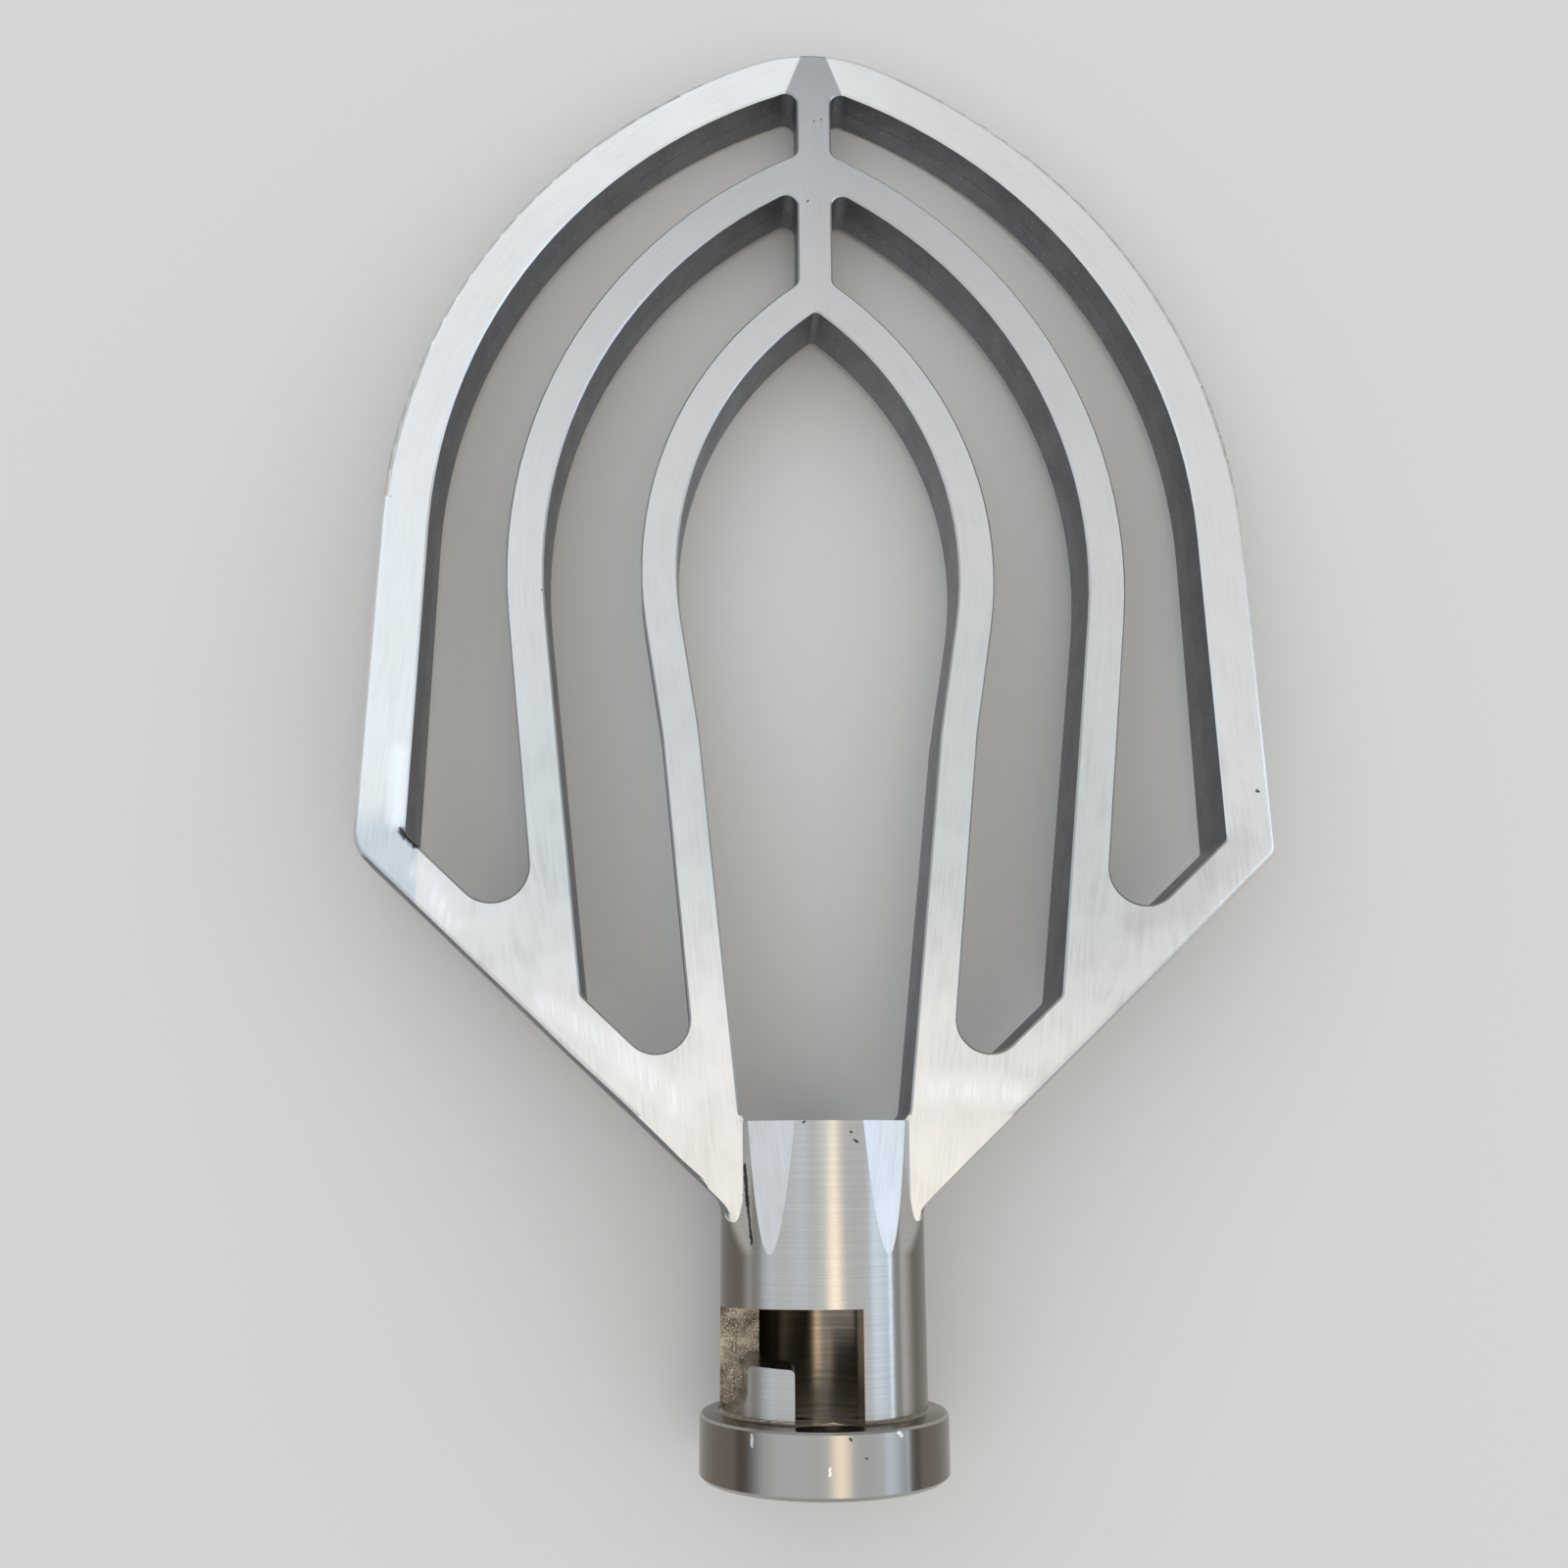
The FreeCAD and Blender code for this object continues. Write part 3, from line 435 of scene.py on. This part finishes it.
# Aluminium turned on a lathe: fine rings round the hub, which draw reflections out along it.
turnedLook = {                                              # lengths in mm
    # flank is painted shade on the hub's sides
    "colour": "#c4c2be", "ring": "#bbb9b5", "collar": "#b0aeaa", "flank": "#756d64", "pore": "#3f3c39",
    "nick": "#f2f1ef",
    "roughness": 0.25, "anisotropy": 0.85,
    "feed": 0.25, "ringRun": 0.03, "ringFrom": 0.35, "ringTo": 0.65, "ringStrength": 0.07, "ringDepth": 0.05,
    "poreSpacing": 9.0, "poreRadius": 0.22, "poreShare": 0.4, "raggedSize": 0.9, "raggedReach": 0.4,
    "flankFrom": 0.74, "flankTo": 0.56, "collarFlank": 0.18,     # height over radius where the sides get painted shade
    "collarTop": 12.6, "webFrom": 44.0, "webTo": 50.0, "webFlank": 0.22, "endSlant": 0.5,
    "pits": [
        ((4.3, 68.5, 21.2), (4.4, 68.4, 21.1), 0.36), ((5.7, 66.5, 20.8), (5.0, 67.0, 21.0), 0.32),
        ((-8.2, 70.4, 20), (-7.6, 70.5, 20.2), 0.36), ((-5.4, 70.4, 20.9), (-5.0, 70.5, 21), 0.32),
        ((3.0, 11.3, 25.6), (3.1, 11.1, 25.6), 0.38), ((6.0, 7.6, 25.1), (6.3, 7.5, 25), 0.26),
        ((-16.9, 61.7, 13.4), (-16.4, 54.0, 14.1), 0.75),        # as cast, left in the crease beside the web
        ((-16.4, 55.0, 14.1), (-15.6, 46.6, 15.0), 0.5),
    ],
    "nicks": [
        ((-15.7, 11.4, 20.5), (-15.6, 9.3, 20.5), 0.35), ((12.7, 11.8, 22.4), (13.4, 11.2, 22.1), 0.5),
        ((-1.0, 6.2, 25.8), (-1.0, 4.8, 25.8), 0.3),
    ],
}
turnedHub, tree = newMaterial("turnedAluminium")
place = ownPlace(tree)
ringScale = (turnedLook["ringRun"], 1 / turnedLook["feed"], turnedLook["ringRun"])
rings = addNode(tree, "VectorMath", {"operation": "MULTIPLY", 1: ringScale}, {0: place})
lines = addNode(tree, "TexNoise", {"Scale": 1.0, "Detail": 3.0, "Roughness": 0.7},
                {"Vector": rings.outputs[0]})
spread = addNode(tree, "MapRange", {"From Min": turnedLook["ringFrom"], "From Max": turnedLook["ringTo"]},
                 {"Value": lines.outputs["Fac"]})
tone = addNode(tree, "Mix", {
    "data_type": "RGBA", 6: linearColour(turnedLook["ring"]), 7: linearColour(turnedLook["colour"]),
}, {0: spread.outputs["Result"]})

# the sides get painted shade standing in for a dark reflection, the end faces do not
part = addNode(tree, "SeparateXYZ", {}, {0: place})
height = addNode(tree, "Math", {"operation": "ABSOLUTE"}, {0: part.outputs["Z"]})
spoke = addNode(tree, "CombineXYZ", {}, {"X": part.outputs["X"], "Z": part.outputs["Z"]})
radius = addNode(tree, "VectorMath", {"operation": "LENGTH"}, {0: spoke.outputs[0]})
facing = addNode(tree, "Math", {"operation": "DIVIDE"}, {0: height.outputs[0], 1: radius.outputs["Value"]})
onCollar = addNode(tree, "Math", {"operation": "LESS_THAN", 1: turnedLook["collarTop"]},
                   {0: part.outputs["Y"]})
besideWeb = addNode(tree, "MapRange", {
    "From Min": turnedLook["webFrom"], "From Max": turnedLook["webTo"], "To Max": turnedLook["webFlank"],
}, {"Value": part.outputs["Y"]})
raised = addNode(tree, "Math", {"operation": "ADD"}, {0: facing.outputs[0], 1: besideWeb.outputs["Result"]})
shifted = addNode(tree, "Math", {"operation": "MULTIPLY_ADD", 1: -turnedLook["collarFlank"]},
                  {0: onCollar.outputs[0], 2: raised.outputs[0]})
onFlank = addNode(tree, "MapRange", {
    "interpolation_type": "SMOOTHSTEP",
    "From Min": turnedLook["flankFrom"], "From Max": turnedLook["flankTo"],
}, {"Value": shifted.outputs[0]})
flat = addNode(tree, "NewGeometry")
endwise = addNode(tree, "VectorMath", {"operation": "DOT_PRODUCT", 1: hubAxis},
                  {0: flat.outputs["True Normal"]})
slant = addNode(tree, "Math", {"operation": "ABSOLUTE"}, {0: endwise.outputs["Value"]})
isSide = addNode(tree, "Math", {"operation": "LESS_THAN", 1: turnedLook["endSlant"]}, {0: slant.outputs[0]})
flankShade = addNode(tree, "Math", {"operation": "MULTIPLY"},
                  {0: onFlank.outputs["Result"], 1: isSide.outputs[0]})
body = addNode(tree, "Mix", {"data_type": "RGBA", 7: linearColour(turnedLook["collar"])},
               {0: onCollar.outputs[0], 6: tone.outputs[2]})
flankShaded = addNode(tree, "Mix", {"data_type": "RGBA", 7: linearColour(turnedLook["flank"])},
                    {0: flankShade.outputs[0], 6: body.outputs[2]})
pores = sparsePits(tree, place, turnedLook["poreSpacing"], turnedLook["poreRadius"], turnedLook["poreShare"])
uneven = ragged(tree, place, turnedLook["raggedSize"], turnedLook["raggedReach"])
nicks = scars(tree, uneven, turnedLook["nicks"])
knocked = addNode(tree, "Mix", {"data_type": "RGBA", 7: linearColour(turnedLook["nick"])},
                  {0: nicks, 6: flankShaded.outputs[2]})
pits = scars(tree, uneven, turnedLook["pits"])
holes = addNode(tree, "Math", {"operation": "MAXIMUM"}, {0: pores, 1: pits})
colour = addNode(tree, "Mix", {"data_type": "RGBA", 7: linearColour(turnedLook["pore"])},
                 {0: holes.outputs[0], 6: knocked.outputs[2]})
relief = addNode(tree, "Bump", {
    "Strength": turnedLook["ringStrength"], "Distance": turnedLook["ringDepth"] / mmPerMetre,
}, {"Height": lines.outputs["Fac"], "Normal": roundNormal(tree, place)})
around = addNode(tree, "Tangent", {"direction_type": "RADIAL", "axis": "Y"})
surface = addNode(tree, "BsdfPrincipled", {
    "Metallic": 1.0, "Roughness": turnedLook["roughness"], "Anisotropic": turnedLook["anisotropy"],
    "Anisotropic Rotation": 0.25,
}, {
    "Base Color": colour.outputs[2], "Normal": relief.outputs["Normal"], "Tangent": around.outputs["Tangent"],
})
addNode(tree, "OutputMaterial", {}, {"Surface": surface.outputs[0]})

# Aluminium bored, never polished: dark, with the tool's rings; on the slot's walls and the shoulder the same
# dark finish is painted shade.
boredLook = {                                               # lengths in mm
    "colour": "#a89d8f", "dark": "#6b6257", "roughness": 0.24, "anisotropy": 0.6,
    "feed": 0.7, "ringRun": 0.02, "ringStrength": 0.3, "ringDepth": 0.1,
}
boredAndShadeFinish, tree = newMaterial("boredAluminiumAndShade")
place = ownPlace(tree)
ringScale = (boredLook["ringRun"], 1 / boredLook["feed"], boredLook["ringRun"])
rings = addNode(tree, "VectorMath", {"operation": "MULTIPLY", 1: ringScale}, {0: place})
lines = addNode(tree, "TexNoise", {"Scale": 1.0, "Detail": 2.0}, {"Vector": rings.outputs[0]})
tone = addNode(tree, "Mix", {
    "data_type": "RGBA", 6: linearColour(boredLook["dark"]), 7: linearColour(boredLook["colour"]),
}, {0: lines.outputs["Fac"]})
relief = addNode(tree, "Bump", {
    "Strength": boredLook["ringStrength"], "Distance": boredLook["ringDepth"] / mmPerMetre,
}, {"Height": lines.outputs["Fac"], "Normal": roundNormal(tree, place)})
around = addNode(tree, "Tangent", {"direction_type": "RADIAL", "axis": "Y"})
surface = addNode(tree, "BsdfPrincipled", {
    "Metallic": 1.0, "Roughness": boredLook["roughness"], "Anisotropic": boredLook["anisotropy"],
    "Anisotropic Rotation": 0.25,
}, {
    "Base Color": tone.outputs[2], "Normal": relief.outputs["Normal"], "Tangent": around.outputs["Tangent"],
})
addNode(tree, "OutputMaterial", {}, {"Surface": surface.outputs[0]})
print("finishes made")

# Which finish each face of the casting has, from where it is and which way it looks.
finishes = [groundFace, castWall, turnedHub, boredAndShadeFinish]
ground, cast, turned, boredAndShade = range(len(finishes))
zones = {                                                   # mm in the beater's own axes
    "hubRadius": 21.6, "hubEnd": 70.8, "boreRadius": 13.5, "boreEnd": 53.0, "slotTop": 34.6,
    "shoulder": 14.3, "rim": 12.1, "rimRadius": 25.3, "webLow": 40.8, "cornerTop": 127.0, "tipHalf": 24.5,
    "slack": 0.3, "leastRadius": 0.001,
}
slants = {                                                  # parts of a face's unit normal
    "eased": 0.3, "worn": 0.85, "down": 0.1, "round": 0.999, "collar": 0.1, "end": 0.9, "shoulder": 0.02,
    "boreWall": 0.5, "slotWall": 0.95, "slotFloor": 0.9,
    "flatRise": 0.0285, "flatLean": 0.559, "flatSlack": 0.002,   # the flats ground on the hub
}


def onEdgeRounding(corners, spot):
    # slivers in the rounded outer edge look every way, so it is known by its place under the ground face
    away = math.hypot(abs(spot.x) + groundLook["archBack"], spot.y - groundLook["archLine"])
    depths = [groundLook["faceTop"] - groundLook["faceFall"] * c.y - abs(c.z) for c in corners]
    isOuter = away > groundLook["edgeStart"] and spot.y > groundLook["edgeLow"]
    return isOuter and max(depths) < groundLook["edgeRound"] + zones["slack"]


def finishOf(corners, spot, look):
    radius = math.hypot(spot.x, spot.z)
    outwards = (spot.x * look.x + spot.z * look.z) / max(radius, zones["leastRadius"])
    flatRise = abs(look.y - slants["flatRise"])
    flatLean = abs(abs(look.x) - slants["flatLean"])
    if max(flatRise, flatLean) < slants["flatSlack"]:
        return ground
    inBore = spot.y < zones["boreEnd"] and radius < zones["boreRadius"] + zones["slack"]
    if inBore and outwards < slants["boreWall"]:
        return boredAndShade
    inSlot = zones["rim"] < spot.y < zones["slotTop"] and radius < zones["hubRadius"]
    if inSlot and outwards < slants["slotWall"]:
        isFloor = look.z > slants["slotFloor"] and abs(spot.z) < zones["slack"]
        # the slot's walls take the dark bored finish as painted shade, its floor stays cast
        return cast if isFloor else boredAndShade
    onShoulder = zones["rim"] < spot.y < zones["shoulder"] and radius < zones["rimRadius"]
    # the shoulder takes the dark bored finish as painted shade
    if onShoulder and look.y > slants["shoulder"]:
        return boredAndShade
    onHub = spot.y < zones["hubEnd"] + zones["slack"] and radius < zones["hubRadius"] + zones["slack"]
    if onHub and outwards > slants["round"]:
        return turned
    if spot.y < zones["shoulder"] and (outwards > slants["collar"] or look.y < -slants["end"]):
        return turned
    besideLeftWeb = zones["webLow"] < spot.y < zones["cornerTop"] and spot.x < -zones["tipHalf"]
    isWornEdge = besideLeftWeb and look.y < -slants["down"] and look.x < 0
    leastUpright = slants["worn"] if isWornEdge else slants["eased"]
    return ground if abs(look.z) > leastUpright or onEdgeRounding(corners, spot) else cast


casting.data.materials.clear()
for finish in finishes:
    casting.data.materials.append(finish)
counts = [0] * len(finishes)
for face in casting.data.polygons:
    corners = [toOwn @ casting.data.vertices[i].co * mmPerMetre for i in face.vertices]
    face.material_index = finishOf(corners, toOwn @ face.center * mmPerMetre, turnToOwn @ face.normal)
    face.use_smooth = True
    counts[face.material_index] += 1
print("faces by finish:", dict(zip([f.name for f in finishes], counts)))

# Pale floor that the beater lies on.
floorLook = {"colour": "#e0ddd8", "roughness": 0.85, "size": 5.0}
bpy.ops.mesh.primitive_plane_add(size=floorLook["size"], location=(0, 0, 0))
floor = bpy.context.object
floor.name = "paleFloor"
floorPaint, tree = newMaterial("matFloorPaint")
surface = addNode(tree, "BsdfPrincipled", {
    "Base Color": linearColour(floorLook["colour"]), "Roughness": floorLook["roughness"],
})
addNode(tree, "OutputMaterial", {}, {"Surface": surface.outputs[0]})
floor.data.materials.append(floorPaint)

# Soft studio light. Glow is what a panel adds to the room in the metal, 1 being white.
panels = {
    "leftPanel": {"place": (-0.8, 0.5, 1.0), "size": (0.8, 1.2), "glow": 0.45, "colour": "#bfe0ff"},
    "tipPanel": {"place": (-0.45, 1.3, 0.8), "size": (1.4, 0.7), "glow": 0.5, "colour": "#d5ebff"},
    "overheadPanel": {"place": (0.02, 0.16, 1.3), "size": (0.5, 0.36), "glow": 0.5, "colour": "#fffaf2"},
    "warmStrip": {"place": (0.2, -0.26, 1.2), "size": (0.32, 0.42), "glow": 1.75, "colour": "#ffe1ae"},
    "rightWindow": {"place": (1.45, 0.1, 0.74), "size": (1.0, 0.8), "glow": 0.8, "colour": "#b4daff"},
    "rightSill": {"place": (1.5, 0.0, 0.42), "size": (1.0, 0.06), "glow": 3.2, "colour": "#d9ecff"},
    "lowWindow": {"place": (1.05, -1.05, 0.6), "size": (0.8, 0.5), "glow": 1.0, "colour": "#d9ecff"},
    "leftWindow": {"place": (-1.5, 0.1, 0.65), "size": (1.0, 0.5), "glow": 0.4, "colour": "#a9cdf8"},
}
for name, panel in panels.items():
    lamp = bpy.data.lights.new(name, "AREA")
    lamp.shape = "RECTANGLE"
    lamp.size, lamp.size_y = panel["size"]
    lamp.energy = panel["glow"] * math.pi * lamp.size * lamp.size_y
    lamp.color = linearColour(panel["colour"])[:3]
    holder = bpy.data.objects.new(name, lamp)
    holder.location = panel["place"]
    holder.rotation_euler = (-holder.location).to_track_quat("-Z", "Y").to_euler()
    bpy.context.scene.collection.objects.link(holder)

# The room above is pale and falls off towards the horizon.
room = {"ceiling": "#e6e9ec", "horizon": "#9d9a96", "low": 0.05, "high": 0.55}
world = bpy.data.worlds.new("studioRoom")
world.use_nodes = True
tree = world.node_tree
direction = addNode(tree, "TexCoord")
parts = addNode(tree, "SeparateXYZ", {}, {0: direction.outputs["Generated"]})
rise = addNode(tree, "MapRange", {
    "interpolation_type": "SMOOTHSTEP", "From Min": room["low"], "From Max": room["high"],
}, {"Value": parts.outputs["Z"]})
shade = addNode(tree, "Mix", {
    "data_type": "RGBA", 6: linearColour(room["horizon"]), 7: linearColour(room["ceiling"]),
}, {0: rise.outputs["Result"]})
tree.links.new(shade.outputs[2], tree.nodes["Background"].inputs["Color"])
bpy.context.scene.world = world
print("floor and light set")

# Camera where the photograph was taken from, above the hub and looking a little towards the tip.
cameraSet = {
    "place": (-0.026095, -0.081017, 0.355921), "turn": (10.0722, -3.0912, -0.0431),    # metres, degrees
    "lens": 34.65, "sensor": 36, "clip": 0.01,
}
eye = bpy.data.cameras.new("photoCamera")
eye.sensor_width = cameraSet["sensor"]
eye.lens = cameraSet["lens"]
eye.clip_start = cameraSet["clip"]
camera = bpy.data.objects.new("photoCamera", eye)
camera.location = cameraSet["place"]
camera.rotation_euler = [math.radians(a) for a in cameraSet["turn"]]
bpy.context.scene.collection.objects.link(camera)
bpy.context.scene.camera = camera
bpy.context.scene.view_settings.view_transform = "Standard"
print("camera set")
